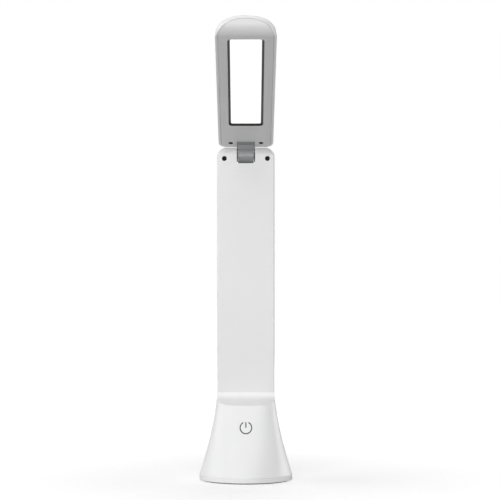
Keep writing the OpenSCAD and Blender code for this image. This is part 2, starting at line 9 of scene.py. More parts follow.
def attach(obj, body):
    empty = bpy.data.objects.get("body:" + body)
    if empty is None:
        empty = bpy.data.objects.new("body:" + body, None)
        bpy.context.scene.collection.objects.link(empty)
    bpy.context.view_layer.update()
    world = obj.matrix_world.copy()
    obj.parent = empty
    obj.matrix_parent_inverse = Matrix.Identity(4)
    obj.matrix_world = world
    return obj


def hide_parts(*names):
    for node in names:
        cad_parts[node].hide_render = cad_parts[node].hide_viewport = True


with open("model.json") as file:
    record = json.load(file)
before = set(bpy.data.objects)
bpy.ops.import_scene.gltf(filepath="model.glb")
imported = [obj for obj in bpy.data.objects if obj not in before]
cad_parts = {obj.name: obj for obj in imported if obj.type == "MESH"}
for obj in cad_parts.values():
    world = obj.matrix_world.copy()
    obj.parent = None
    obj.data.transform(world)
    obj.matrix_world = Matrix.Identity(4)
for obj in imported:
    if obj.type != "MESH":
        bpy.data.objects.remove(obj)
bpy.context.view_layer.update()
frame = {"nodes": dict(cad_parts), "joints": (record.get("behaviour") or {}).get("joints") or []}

print("frame loaded")

# the lamp's sizes are in mm and degrees; names that end in Steps or Rings are counts
mm = 0.001
weld = 0.002                          # points closer than this are made one
cutReach = 30                         # how far cutters run past the walls that they open

# the hinge's axis lies behind the column's front, in the middle of its thickness, and its lower
# limit is the head standing upright
hinge = frame["joints"][0]
axisDepth, axisHeight = (at/mm for at in hinge["pos_m"][1:])
headTilt = -hinge["range_deg"][0]
leanBack = Matrix.Rotation(math.radians(headTilt), 4, "X")
headFrame = Matrix.Translation((0, axisDepth*mm, axisHeight*mm)) @ leanBack


def mix(a, b, share):
    return a + (b - a)*share


def firstRing(bm, points):
    ring = list(bmesh.ops.create_circle(bm, segments=len(points), radius=mm)["verts"])
    for vert, point in zip(ring, points):
        vert.co = Vector(point)*mm
    return ring


def ringEdges(bm, ring):
    return [bm.edges.get(pair) for pair in zip(ring, ring[1:] + ring[:1])]


def growRing(bm, ring, points):
    # extrudes a closed ring and puts its new points where the next ring lies
    grown = bmesh.ops.extrude_edge_only(bm, edges=ringEdges(bm, ring))["geom"]
    fresh = {item for item in grown if isinstance(item, bmesh.types.BMVert)}
    after = [next(e.other_vert(v) for e in v.link_edges if e.other_vert(v) in fresh) for v in ring]
    for vert, point in zip(after, points):
        vert.co = Vector(point)*mm
    return after


def capRing(bm, ring):
    bmesh.ops.contextual_create(bm, geom=ringEdges(bm, ring))


def cornerPoints(before, corner, after):
    # three points of a small round between two faces
    spots = []
    for share in (0.25, 0.5, 0.75):
        spots.append([(1 - share)**2*b + 2*share*(1 - share)*c + share**2*a
                      for b, c, a in zip(before, corner, after)])
    return spots


def growRound(bm, ring, before, corners, after):
    # grows the rings of that round between a ring at before and the next one at after
    for spots in zip(*[cornerPoints(b, c, a) for b, c, a in zip(before, corners, after)]):
        ring = growRing(bm, ring, spots)
    return ring


def toPiece(name, bm, matrix=None):
    bmesh.ops.remove_doubles(bm, verts=bm.verts, dist=weld*mm)
    bmesh.ops.dissolve_degenerate(bm, edges=bm.edges, dist=weld/2*mm)
    bmesh.ops.recalc_face_normals(bm, faces=bm.faces)
    if matrix is not None:
        bm.transform(matrix)
    mesh = bpy.data.meshes.new(name)
    bm.to_mesh(mesh)
    bm.free()
    piece = bpy.data.objects.new(name, mesh)
    bpy.context.scene.collection.objects.link(piece)
    return piece


def applyModifiers(piece):
    graph = bpy.context.evaluated_depsgraph_get()
    mesh = bpy.data.meshes.new_from_object(piece.evaluated_get(graph))
    piece.modifiers.clear()
    piece.data = mesh


def carve(piece, cutter):
    step = piece.modifiers.new("carve", "BOOLEAN")
    step.operation = "DIFFERENCE"
    step.solver = "EXACT"
    step.object = cutter
    applyModifiers(piece)
    bpy.data.objects.remove(cutter)


def dress(piece, material, body, nodes, bevel=0, bevelAngle=40, smoothAngle=38):
    # finishes a piece: its material, its edges, the body that it rides on and the nodes it stands for
    mesh = piece.data
    mesh.materials.clear()
    mesh.materials.append(material)
    for face in mesh.polygons:
        face.use_smooth = True
    mesh.set_sharp_from_angle(angle=math.radians(smoothAngle))
    if bevel:
        step = piece.modifiers.new("edgeRound", "BEVEL")
        step.width = bevel*mm
        step.segments = 2
        step.limit_method = "ANGLE"
        step.angle_limit = math.radians(bevelAngle)
        step.use_clamp_overlap = False
        step.harden_normals = True
    step = piece.modifiers.new("evenNormals", "WEIGHTED_NORMAL")
    step.keep_sharp = True
    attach(piece, body)
    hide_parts(*nodes)
    return piece


def paintBoreShade(piece, material, form, front, matrix=Matrix()):
    # painted shade: the walls of the screw recesses, which run along Y behind the front, take a second,
    # black material that paints them as deep shadowed bores
    wallSlack, frontSlack = 0.01, 0.05
    piece.data.materials.append(material)
    back = matrix.inverted()
    for face in piece.data.polygons:
        spot = (back @ face.center)/mm
        reach = math.hypot(abs(spot.x) - form["screwX"], spot.z - form["screwZ"])
        if reach < form["recessRadius"] + wallSlack and spot.y > front + frontSlack:
            face.material_index = 1


def boxCutter(low, high, edgeRound=0):
    # block between two corners, with a round on its edges along Y
    bm = bmesh.new()
    bmesh.ops.create_cube(bm, size=1)
    size = [h - l for l, h in zip(low, high)]
    middle = [(h + l)/2 for l, h in zip(low, high)]
    bmesh.ops.scale(bm, vec=Vector(size)*mm, verts=bm.verts)
    bmesh.ops.translate(bm, vec=Vector(middle)*mm, verts=bm.verts)
    if edgeRound:
        along = [e for e in bm.edges if abs(e.verts[0].co.y - e.verts[1].co.y) > mm]
        bmesh.ops.bevel(bm, geom=along, offset=edgeRound*mm, segments=6, affect="EDGES", profile=0.5,
                        material=-1)
    return toPiece("cutter", bm)


def recessCutter(form, side, start, end):
    # round cutter that runs along Y at one of the two screws
    bm = bmesh.new()
    radius = form["recessRadius"]*mm
    middle = Vector((side*form["screwX"], (start + end)/2, form["screwZ"]))*mm
    turn = Matrix.Translation(middle) @ Matrix.Rotation(math.pi/2, 4, "X")
    bmesh.ops.create_cone(bm, cap_ends=True, segments=40, radius1=radius, radius2=radius,
                          depth=(end - start)*mm, matrix=turn)
    return toPiece("cutter", bm)


def cadCopy(node, name):
    # a CAD node's shape with its triangles joined to flat faces
    flatAngle = 0.6
    bm = bmesh.new()
    bm.from_mesh(frame["nodes"][node].data)
    bmesh.ops.remove_doubles(bm, verts=bm.verts, dist=weld/2*mm)
    bmesh.ops.dissolve_limit(bm, angle_limit=math.radians(flatAngle), verts=bm.verts, edges=bm.edges)
    mesh = bpy.data.meshes.new(name)
    bm.to_mesh(mesh)
    bm.free()
    piece = bpy.data.objects.new(name, mesh)
    bpy.context.scene.collection.objects.link(piece)
    return piece


baseForm = {"diameter": 87, "height": 82, "seat": 5.2, "wall": 2.2, "edgeRound": 0.4,
            "flarePower": 1.55, "frontPower": 3.8, "flatFoot": 0.2,
            "halfColumn": 27, "seamStep": 0.25, "backDepth": 2*axisDepth,
            "ledgeDepth": 14.6, "ledgeRadius": 7.1, "ledgeSlope": 23, "lipWidth": 0.93, "lipDepth": 0.3,
            "portWidth": 9.14, "portHeight": 3.46, "portAt": 35.63, "portRound": 1.3, "portFrom": 20,
            "wallRings": 34, "insideRings": 17, "ledgeRings": 18, "hollowSteps": 12, "faceSteps": 26,
            "cheekSteps": 6, "evenHeight": 72}


def baseSection(z):
    # the section at a height: from a circle at the foot (t = 1) to the column's flat shape (t = 0)
    f = baseForm
    t = min(1, (f["height"] - z)/(f["height"] - f["seat"]))**f["flarePower"]
    radius = f["diameter"]/2
    middle = mix(axisDepth, 0, t)
    return {"wide": mix(f["halfColumn"] + f["seamStep"], radius, t), "middle": middle,
            "front": mix(f["ledgeDepth"], radius, t) + middle,
            "back": mix(f["backDepth"], radius, t) - middle,
            "flat": mix(f["halfColumn"] - axisDepth, f["flatFoot"], t),
            "bend": 2/mix(f["frontPower"], 2, t)}


def basePoint(station, z, inset=0):
    # a station is the part it is on, front or back, its side, -1 or 1, and its angle from that side
    part, side, angle = station
    s = baseSection(z)
    c, up = max(0, math.cos(angle)), max(0, math.sin(angle))
    wide = s["wide"] - inset
    if part == "back":
        return (side*(s["flat"] + (wide - s["flat"])*c), s["middle"] + (s["back"] - inset)*up, z)
    return (side*wide*c**s["bend"], s["middle"] - (s["front"] - inset)*up**s["bend"], z)


def ledgeFoot():
    # how far the hollow beside the column turns, and where it meets the straight ledge
    turn = math.radians(90 - baseForm["ledgeSlope"])
    r = baseForm["ledgeRadius"]
    return turn, r*math.cos(turn) - r, baseForm["height"] - r*math.sin(turn)


def ledgeHeight(y):
    # height of the ledge and its hollow at a depth
    turn, footY, footZ = ledgeFoot()
    r = baseForm["ledgeRadius"]
    if y >= 0:
        return baseForm["height"]
    if y >= footY:
        return baseForm["height"] - r*math.sin(math.acos((y + r)/r))
    return footZ - (footY - y)*math.tan(math.radians(baseForm["ledgeSlope"]))


def ledgePoint(x, rimY, share, least):
    # a point on the way from least mm behind the rim, at share 0, up to the column's front, at share 1
    turn, footY, footZ = ledgeFoot()
    r, slope = baseForm["ledgeRadius"], math.radians(baseForm["ledgeSlope"])
    if rimY < footY:
        straight, arc = (footY - rimY)/math.cos(slope), r*turn
    else:
        straight, arc = 0, r*math.acos(min(1, (rimY + r)/r))
    start = min(least, straight + arc)
    left = (straight + arc - start)*(1 - share)
    if left <= arc:
        return (x, r*math.cos(left/r) - r, baseForm["height"] - r*math.sin(left/r))
    run = left - arc
    return (x, footY - run*math.cos(slope), footZ - run*math.sin(slope))


def rimHeight(station):
    # where the wall meets the ledge, found by halving
    if station[0] == "back":
        return baseForm["height"]
    low, high = baseForm["seat"], baseForm["height"]
    for _ in range(40):
        z = (low + high)/2
        if z < ledgeHeight(basePoint(station, z)[1]):
            low = z
        else:
            high = z
    return low


def baseStations():
    # one run of stations for every ring, from the front's middle round the right side, back and left
    f = baseForm
    turn, r = ledgeFoot()[0], f["ledgeRadius"]
    corner = []
    for k in range(f["hollowSteps"] + 1):     # where the hollow beside the column meets the rim
        phi = turn*k/f["hollowSteps"]
        s = baseSection(f["height"] - r*math.sin(phi))
        corner.append(math.asin(((s["middle"] + r - r*math.cos(phi))/s["front"])**(1/s["bend"])))
    bend = baseSection(f["evenHeight"])["bend"]
    reach = math.cos(corner[-1])**bend
    steps = f["faceSteps"]
    face = [math.acos((reach*(1 - k/steps))**(1/bend)) for k in range(1, steps + 1)]
    cheek = [corner[0]*k/f["cheekSteps"] for k in range(1, f["cheekSteps"])]
    front = cheek + corner + face
    back = [math.pi/2*k/steps for k in range(steps + 1)]
    right = [("front", 1, a) for a in reversed(front)] + [("back", 1, a) for a in back]
    left = [("back", -1, a) for a in reversed(back)] + [("front", -1, a) for a in front[:-1]]
    return right + left


def makeBaseHousing():
    f = baseForm
    stations = baseStations()
    rims = [rimHeight(s) for s in stations]
    soft, wall = f["edgeRound"], f["wall"]
    corners = [basePoint(s, rim) for s, rim in zip(stations, rims)]
    inFront = -0.01                   # a rim point with its Y below this lies on the ledge
    climbs = [s[0] == "front" and c[1] < inFront for s, c in zip(stations, corners)]
    ends = [basePoint(s, f["height"], soft)[0] for s in stations]
    bm = bmesh.new()
    foot = [basePoint(s, f["seat"], soft) for s in stations]
    ring = firstRing(bm, foot)
    bulge = 0.3*soft
    ring = growRing(bm, ring, [basePoint(s, f["seat"] + bulge, bulge) for s in stations])
    for k in range(f["wallRings"] + 1):
        share = k/f["wallRings"]
        ring = growRing(bm, ring, [basePoint(s, mix(f["seat"] + soft, rim - soft, share))
                                   for s, rim in zip(stations, rims)])
    outer = [basePoint(s, rim - soft) for s, rim in zip(stations, rims)]
    inner = [ledgePoint(c[0], c[1], 0, soft) if up else basePoint(s, rim, soft)
             for s, rim, c, up in zip(stations, rims, corners, climbs)]
    ring = growRound(bm, ring, outer, corners, inner)
    ring = growRing(bm, ring, inner)
    for k in range(1, f["ledgeRings"] + 1):   # up the ledge and its hollow to the column's front
        share = k/f["ledgeRings"]
        mouth = [ledgePoint(mix(c[0], end, share), c[1], share, soft) if up else spot
                 for c, end, up, spot in zip(corners, ends, climbs, inner)]
        ring = growRing(bm, ring, mouth)
    ring = growRing(bm, ring, [(x*f["lipWidth"], mix(y, axisDepth, f["lipDepth"]), z - wall)
                               for x, y, z in mouth])
    for k in range(f["insideRings"] + 1):     # inside, from under the ledge down to the foot
        share = k/f["insideRings"]
        ring = growRing(bm, ring, [basePoint(s, mix(rim - 2*wall, f["seat"], share), wall)
                                   for s, rim in zip(stations, rims)])
    growRing(bm, ring, foot)
    piece = toPiece("baseHousing", bm)
    halfWidth, halfHeight = f["portWidth"]/2, f["portHeight"]/2
    carve(piece, boxCutter((-halfWidth, f["portFrom"], f["portAt"] - halfHeight),
                           (halfWidth, f["portFrom"] + cutReach, f["portAt"] + halfHeight), f["portRound"]))
    return piece


symbolForm = {"height": 50.4, "diameter": 11.6, "line": 0.95, "gap": 27, "barTop": 5, "proud": 0.03,
              "depth": 0.35, "ringSteps": 72, "barSteps": 12, "lineSteps": 3}


def baseFrontAt(x, z):
    # Y of the base's front face
    s = baseSection(z)
    angle = math.acos(min(1, (abs(x)/s["wide"]))**(1/s["bend"]))
    return s["middle"] - s["front"]*math.sin(angle)**s["bend"]


def makePowerSymbol():
    # a ring open at the top and a bar in it, drawn flat and then laid on the base's front
    f = symbolForm
    gap = math.radians(f["gap"])
    bm = bmesh.new()
    ends = []
    for k in range(f["lineSteps"] + 1):
        reach = (f["diameter"]/2 - f["line"]*k/f["lineSteps"])*mm
        ends += bmesh.ops.create_vert(bm, co=(reach*math.sin(gap), 0, reach*math.cos(gap)))["vert"]
    edges = [bmesh.ops.contextual_create(bm, geom=[a, b])["edges"][0] for a, b in zip(ends, ends[1:])]
    bmesh.ops.spin(bm, geom=ends + edges, cent=(0, 0, 0), axis=(0, 1, 0), angle=2*math.pi - 2*gap,
                   steps=f["ringSteps"], use_merge=False)
    bar = bmesh.ops.create_grid(bm, x_segments=f["lineSteps"], y_segments=f["barSteps"], size=0.5)["verts"]
    bmesh.ops.rotate(bm, verts=bar, matrix=Matrix.Rotation(math.pi/2, 3, "X"))
    bmesh.ops.scale(bm, vec=Vector((f["line"]*mm, 1, f["barTop"]*mm)), verts=bar)
    bmesh.ops.translate(bm, vec=Vector((0, 0, f["barTop"]/2*mm)), verts=bar)
    for face in bm.faces:             # the bar takes the symbol's second finish
        face.material_index = 1 if all(v in bar for v in face.verts) else 0
    grown = bmesh.ops.extrude_face_region(bm, geom=list(bm.faces))["geom"]
    back = {item for item in grown if isinstance(item, bmesh.types.BMVert)}
    for vert in bm.verts:
        x, z = vert.co.x/mm, vert.co.z/mm + f["height"]
        vert.co = Vector((x, baseFrontAt(x, z) + (f["depth"] if vert in back else -f["proud"]), z))*mm
    return toPiece("powerSymbol", bm)


columnForm = {"width": 2*baseForm["halfColumn"], "thickness": 2*axisDepth, "bottom": baseForm["height"],
              "wall": 2, "cornerRadius": 8.5, "frontEdge": 1.5, "leastEdge": 0.2, "leastCorner": 0.4,
              "notchWidth": 17, "sill": 296.2, "overlap": 1,
              "screwX": 20.2, "screwZ": 301, "recessRadius": 2.25, "recessDepth": 2.6,
              "cornerSteps": 18, "sideSteps": 8,
              # how deep the rings lie, close together where the front's edge is round
              "ringDepths": [0, 0.06, 0.22, 0.5, 0.9, 1.5, 2.3, 3.2, 4.3, 5.5, 6.6]}


def columnRing(y, inset, bottom):
    # outline of the column at a depth: round at its top, and at its sides behind the middle
    f = columnForm
    r = f["thickness"]/2
    bulge = math.sqrt(max(0, (r - inset)**2 - (y - r)**2))
    edge = max(f["frontEdge"] - inset, f["leastEdge"])
    half = f["width"]/2 - inset
    if y > r:
        half = f["width"]/2 - r + bulge
    elif y - inset < edge:
        half += math.sqrt(max(0, edge**2 - (edge - y + inset)**2)) - edge
    top = axisHeight + bulge
    drop = axisHeight + r - top
    rx = max(f["leastCorner"], f["cornerRadius"] - f["width"]/2 + half)
    rz = max(f["leastCorner"], f["cornerRadius"] - drop)
    arc = [math.pi/2*k/f["cornerSteps"] for k in range(f["cornerSteps"] + 1)]
    right = [(half, y, mix(bottom, top - rz, k/f["sideSteps"])) for k in range(f["sideSteps"])]
    right += [(half - rx + rx*math.cos(a), y, top - rz + rz*math.sin(a)) for a in arc]
    across = [(half*share, y, top) for share in (0.6, 0.3, 0)]
    left = [(-p[0], y, p[2]) for p in reversed(right + across[:2])]
    return right + across + left


def columnSolid(name, depths, inset, bottom):
    bm = bmesh.new()
    ring = firstRing(bm, columnRing(depths[0], inset, bottom))
    capRing(bm, ring)
    for y in depths[1:]:
        ring = growRing(bm, ring, columnRing(y, inset, bottom))
    capRing(bm, ring)
    return toPiece(name, bm)


def notchCutter(grow):
    f = columnForm
    half, low = f["notchWidth"]/2 + grow, f["sill"] - grow
    return boxCutter((-half, -cutReach, low), (half, cutReach, low + cutReach))


def makeColumnHalf(name, front):
    # the front half, or the back half as its mirror, hollow and with the hinge's notch
    f = columnForm
    middle = f["thickness"]/2
    outer = f["ringDepths"] + [middle]
    inside = [f["wall"] + y*(middle - f["wall"])/middle for y in f["ringDepths"]] + [middle + f["overlap"]]
    if not front:
        outer = [f["thickness"] - y for y in reversed(outer)]
        inside = [f["thickness"] - y for y in reversed(inside)]
    piece = columnSolid(name, outer, 0, f["bottom"])
    hollow = columnSolid("hollow", inside, f["wall"], f["bottom"] + f["wall"])
    carve(hollow, notchCutter(f["wall"]))
    carve(piece, hollow)
    carve(piece, notchCutter(0))
    if front:
        for side in (-1, 1):
            carve(piece, recessCutter(f, side, -f["overlap"], f["recessDepth"]))
    return piece


# the head is built along its own axis, and headFrame then tilts it
headForm = {"width": 52.7, "taper": 1.5, "thickness": 14, "edge": 2.5, "wall": 1.8, "start": 1.3,
            "bend": 211, "noseRadius": 12.5, "cornerRadius": 8.5, "endRound": 6, "tipPower": 1.8,
            "notchLength": 13.3, "notchWidth": columnForm["notchWidth"], "tongue": 4.4,
            "rim": 2.3, "tipRim": 0.5, "face": 8.1, "bezel": 2,
            "seam": 0.2, "seamPower": 2.2, "seamRound": 0.25, "edgeRound": 0.45, "backRound": 0.8,
            "screwX": 14.2, "screwZ": 10.3, "recessRadius": 2.2, "recessFloor": 0.7,
            "crownSteps": 16, "faceSteps": 16}
windowForm = {"width": 27.6, "start": 47.5, "end": 205, "corner": 1.5, "slope": 2, "slopeDepth": 1.5,
              "diffuser": 1.6, "diffuserGap": 0.05, "diffuserRound": 0.1, "edgeRound": 0.15}
# points round a quarter of the tip, down a side, round a low corner and along the low end
tipSteps, sideSteps, cornerSteps, endSteps = 16, 10, 12, 8


def lowEnd(half, lowHalf, top, low, r):
    # the way down the left side from top, round the low end and up the right side
    arc = [math.pi/2*k/cornerSteps for k in range(cornerSteps + 1)]
    shares = [k/sideSteps for k in range(1, sideSteps)]
    spots = [(-mix(half, lowHalf, share), mix(top, low + r, share)) for share in shares]
    spots += [(-lowHalf + r - r*math.cos(a), low + r - r*math.sin(a)) for a in arc]
    spots += [(mix(r - lowHalf, lowHalf - r, k/endSteps), low) for k in range(1, endSteps)]
    spots += [(lowHalf - r + r*math.sin(a), low + r - r*math.cos(a)) for a in arc]
    return spots + [(mix(lowHalf, half, share), mix(low + r, top, share)) for share in shares]


def planStations(inset):
    # outline of the light face, flattened: x across, run along it from the bend
    f = headForm
    half = f["width"]/2 - inset
    tip = f["noseRadius"]*math.pi/2 - inset*f["tipRim"]
    length = f["bend"] - f["start"]
    lowHalf = half - f["taper"]/2*(length - f["cornerRadius"])/length
    bend = 2/mix(f["tipPower"], f["seamPower"], min(1, inset/f["rim"]))
    spots = []
    for k in range(4*tipSteps + 1):
        turn = math.pi*k/(4*tipSteps)
        c, up = math.cos(turn), max(0, math.sin(turn))
        spots.append((math.copysign(half*abs(c)**bend, c), tip*up**bend))
    return spots + lowEnd(half, lowHalf, 0, inset - length, f["cornerRadius"] - inset)


def windowStations(grow):
    # outline of the window with as many points as planStations gives
    f = windowForm
    half, r = f["width"]/2 + grow, f["corner"] + grow
    top, low = f["end"] + grow - headForm["bend"], f["start"] - grow - headForm["bend"]
    arc = [math.pi/2*k/tipSteps for k in range(tipSteps + 1)]
    spots = [(half - r + r*math.cos(a), top - r + r*math.sin(a)) for a in arc]
    spots += [(mix(half - r, r - half, k/(2*tipSteps)), top) for k in range(1, 2*tipSteps)]
    spots += [(r - half - r*math.sin(a), top - r + r*math.cos(a)) for a in arc]
    return spots + lowEnd(half, half, top - r, low, r)


def onFace(spot, lift=0):
    # wraps a flattened spot onto the light face, lift above it
    f = headForm
    x, run = spot
    if run <= 0:
        return (x, f["face"] - lift, f["bend"] + run)
    r = f["noseRadius"]
    turn = run/r
    return (x, f["face"] + r - (r + lift)*math.cos(turn), f["bend"] + (r + lift)*math.sin(turn))


def crownDepth(x, z, wall=0):
    # depth of the head's back behind the light face
    f = headForm
    half = f["width"]/2 - wall
    depth = f["edge"] + (f["thickness"] - wall - f["edge"])*math.sqrt(max(0, 1 - (x/half)**2))
    r = f["endRound"]
    low = f["start"] + r - z
    if low > 0:
        depth = min(depth, f["thickness"] - r + math.sqrt(max(0, (r - wall)**2 - low**2)))
    return depth


def crownPoint(spot, share, wall=0):
    # a point of the crown behind a spot of the outline: share is 1 at the outline and 0 on the spine
    f = headForm
    x, z = spot[0]*share, spot[1]
    middle = min(max(z, f["start"] + f["cornerRadius"]), f["bend"])
    z = middle + (z - middle)*share
    return (x, f["face"] + crownDepth(x, z, wall), z)


def makeHeadShell():
    # one skin, from the spine inside out over the rim and back to the spine outside
    f = headForm
    soft, seam, back = f["edgeRound"], f["seamRound"], f["backRound"]
    rimEdge, corner = [onFace(s) for s in planStations(f["rim"])], [onFace(s) for s in planStations(0)]
    inside, outline = [(x, z) for x, y, z in rimEdge], [(x, z) for x, y, z in corner]
    steps = f["crownSteps"]
    shares = [math.cos(math.pi/2*k/steps) for k in range(steps + 1)]
    bm = bmesh.new()
    ring = firstRing(bm, [crownPoint(s, 0, f["wall"]) for s in inside])
    for share in reversed(shares[:-1]):
        ring = growRing(bm, ring, [crownPoint(s, share, f["wall"]) for s in inside])
    bottom = [(x, y + seam, z) for x, y, z in rimEdge]
    rimTop = [onFace(s) for s in planStations(f["rim"] - seam)]
    ring = growRound(bm, growRing(bm, ring, bottom), bottom, rimEdge, rimTop)
    ring = growRing(bm, ring, rimTop)
    rimOut = [onFace(s) for s in planStations(soft)]
    band = [(x, y + soft, z) for x, y, z in corner]
    ring = growRound(bm, growRing(bm, ring, rimOut), rimOut, corner, band)
    ring = growRing(bm, ring, band)
    crown = [crownPoint(s, 1) for s in outline]
    high = [(top[0], max(top[1] - back, (low[1] + top[1])/2), top[2])
            for low, top in zip(band, crown)]
    shares = shares[2:]               # the round takes the place of the first two
    into = [crownPoint(s, shares[0]) for s in outline]
    ring = growRound(bm, growRing(bm, ring, high), high, crown, into)
    for share in shares:
        ring = growRing(bm, ring, [crownPoint(s, share) for s in outline])
    piece = toPiece("headShell", bm)
    half = f["notchWidth"]/2
    notchEnd = (half, f["face"] + f["tongue"], f["notchLength"])
    carve(piece, boxCutter((-half, -cutReach, -cutReach), notchEnd))
    piece.data.transform(headFrame)
    return piece


def makeHeadBezel():
    f, w = headForm, windowForm
    soft, steps = f["seamRound"], f["faceSteps"]
    outer, outerIn = planStations(f["rim"] + f["seam"]), planStations(f["rim"] + f["seam"] + soft)
    hole, holeOut = windowStations(w["slope"]), windowStations(w["slope"] + w["edgeRound"])
    bm = bmesh.new()
    ring = firstRing(bm, [onFace(s, -f["bezel"]) for s in outer])
    low, high = [onFace(s, -soft) for s in outer], [onFace(s) for s in outerIn]
    ring = growRound(bm, growRing(bm, ring, low), low, [onFace(s) for s in outer], high)
    for k in range(steps + 1):        # the light face, from the seam in to the window
        ring = growRing(bm, ring, [onFace((mix(a[0], b[0], k/steps), mix(a[1], b[1], k/steps)))
                                   for a, b in zip(outerIn, holeOut)])
    ring = growRing(bm, ring, [onFace(s, -w["edgeRound"]) for s in hole])
    for k in range(steps + 1):        # and back under it
        ring = growRing(bm, ring, [onFace((mix(a[0], b[0], k/steps), mix(a[1], b[1], k/steps)), -f["bezel"])
                                   for a, b in zip(hole, outer)])
    piece = toPiece("headBezel", bm)
    half = f["notchWidth"]/2
    carve(piece, boxCutter((-half, -cutReach, -cutReach), (half, cutReach, f["notchLength"])))
    for side in (-1, 1):
        carve(piece, recessCutter(f, side, 0, f["face"] + f["bezel"] - f["recessFloor"]))
    piece.data.transform(headFrame)
    return piece


def makeDiffuser():
    w = windowForm
    top = -w["slopeDepth"]
    plan = windowStations(-w["diffuserGap"])
    topPlan = windowStations(-w["diffuserGap"] - w["diffuserRound"])
    bm = bmesh.new()
    ring = firstRing(bm, [onFace(s, top - w["diffuser"]) for s in plan])
    capRing(bm, ring)
    ring = growRing(bm, ring, [onFace(s, top - w["diffuserRound"]) for s in plan])
    ring = growRing(bm, ring, [onFace(s, top) for s in topPlan])
    capRing(bm, ring)
    return toPiece("diffuserPlate", bm, headFrame)


def newGroup(name, inputs, outputs):
    group = bpy.data.node_groups.new(name, "ShaderNodeTree")
    for label, kind, value in inputs:
        socket = group.interface.new_socket(name=label, in_out="INPUT", socket_type="NodeSocket" + kind)
        if value is not None:
            socket.default_value = value
    for label, kind in outputs:
        group.interface.new_socket(name=label, in_out="OUTPUT", socket_type="NodeSocket" + kind)
    return group, group.nodes.new("NodeGroupInput"), group.nodes.new("NodeGroupOutput")


def put(tree, kind, values=None, **settings):
    # adds a shader node; a value is a number or colour, or another node's socket to link
    node = tree.nodes.new("ShaderNode" + kind)
    for key, value in settings.items():
        setattr(node, key, value)
    for key, value in (values or {}).items():
        if isinstance(value, bpy.types.NodeSocket):
            tree.links.new(value, node.inputs[key])
        else:
            node.inputs[key].default_value = value
    return node


def ramp(tree, source, low, high, toLow=0, toHigh=1):
    return put(tree, "MapRange", {0: source, 1: low, 2: high, 3: toLow, 4: toHigh}).outputs[0]


def makeMouldedSkin():
    # fine skin of an injection moulding, and the slow clouding of its colour
    inputs = [("Vector", "Vector", None), ("Grain", "Float", 2600.0), ("Flow", "Float", 16.0)]
    outputs = [("Height", "Float"), ("Clouding", "Float")]
    group, given, result = newGroup("mouldedSkin", inputs, outputs)
    fine = put(group, "TexNoise", {"Vector": given.outputs["Vector"], "Scale": given.outputs["Grain"],
                                   "Detail": 2.0, "Roughness": 0.55})
    peel = put(group, "TexNoise", {"Vector": given.outputs["Vector"], "Scale": 420.0, "Detail": 1.0})
    height = put(group, "Math", {0: fine.outputs[0], 1: peel.outputs[0]}, operation="ADD")
    flow = put(group, "TexNoise", {"Vector": given.outputs["Vector"], "Scale": given.outputs["Flow"],
                                   "Detail": 4.0, "Roughness": 0.6})
    group.links.new(height.outputs[0], result.inputs["Height"])
    group.links.new(ramp(group, flow.outputs[0], 0.35, 0.68), result.inputs["Clouding"])
    return group


def makeHandlingFilm():
    # faint wiped streaks that change how sharply a surface reflects
    inputs = [("Vector", "Vector", None), ("Roughness", "Float", 0.3), ("Change", "Float", 0.08)]
    group, given, result = newGroup("handlingFilm", inputs, [("Roughness", "Float")])
    stretch = put(group, "Mapping", {"Vector": given.outputs["Vector"], "Scale": (1.0, 1.0, 0.35),
                                     "Rotation": (0.2, 0.5, 0.1)})
    wipe = put(group, "TexNoise", {"Vector": stretch.outputs[0], "Scale": 60.0, "Detail": 5.0,
                                   "Roughness": 0.62})
    fine = put(group, "TexNoise", {"Vector": given.outputs["Vector"], "Scale": 900.0, "Detail": 1.0})
    both = put(group, "Math", {0: ramp(group, wipe.outputs[0], 0.4, 0.7, -0.5, 0.5),
                               1: ramp(group, fine.outputs[0], 0.3, 0.7, -0.15, 0.15)}, operation="ADD")
    scaled = put(group, "Math", {0: both.outputs[0], 1: given.outputs["Change"],
                                 2: given.outputs["Roughness"]}, operation="MULTIPLY_ADD")
    group.links.new(scaled.outputs[0], result.inputs["Roughness"])
    return group


def makeSettledDust():
    # mask of the fine dust that lies on faces that look up, thicker in patches
    inputs = [("Vector", "Vector", None), ("Normal", "Vector", None), ("Amount", "Float", 0.3)]
    group, given, result = newGroup("settledDust", inputs, [("Mask", "Float")])
    up = put(group, "SeparateXYZ", {0: given.outputs["Normal"]})
    lying = ramp(group, up.outputs["Z"], 0.25, 1.0)
    patch = put(group, "TexNoise", {"Vector": given.outputs["Vector"], "Scale": 220.0, "Detail": 6.0,
                                    "Roughness": 0.7})
    mask = put(group, "Math", {0: lying, 1: ramp(group, patch.outputs[0], 0.42, 0.75)},
               operation="MULTIPLY")
    scaled = put(group, "Math", {0: mask.outputs[0], 1: given.outputs["Amount"]}, operation="MULTIPLY")
    group.links.new(scaled.outputs[0], result.inputs["Mask"])
    return group


mouldedSkin, handlingFilm, settledDust = makeMouldedSkin(), makeHandlingFilm(), makeSettledDust()


def place(tree, group, **values):
    # adds one of the groups to a material, with its own values
    node = tree.nodes.new("ShaderNodeGroup")
    node.node_tree = group
    for key, value in values.items():
        if isinstance(value, bpy.types.NodeSocket):
            tree.links.new(value, node.inputs[key])
        else:
            node.inputs[key].default_value = value
    return node


def startMaterial(name):
    material = bpy.data.materials.new(name)
    material.use_nodes = True
    tree = material.node_tree
    return material, tree, tree.nodes["Principled BSDF"], put(tree, "TexCoord")


def blendColours(tree, share, first, second):
    # a colour Mix node has its share at 0, its two colours at 6 and 7, and its result at 2
    node = put(tree, "Mix", data_type="RGBA")
    for index, value in ((0, share), (6, first), (7, second)):
        if isinstance(value, bpy.types.NodeSocket):
            tree.links.new(value, node.inputs[index])
        else:
            node.inputs[index].default_value = value if index == 0 else (*value, 1)
    return node.outputs[2]


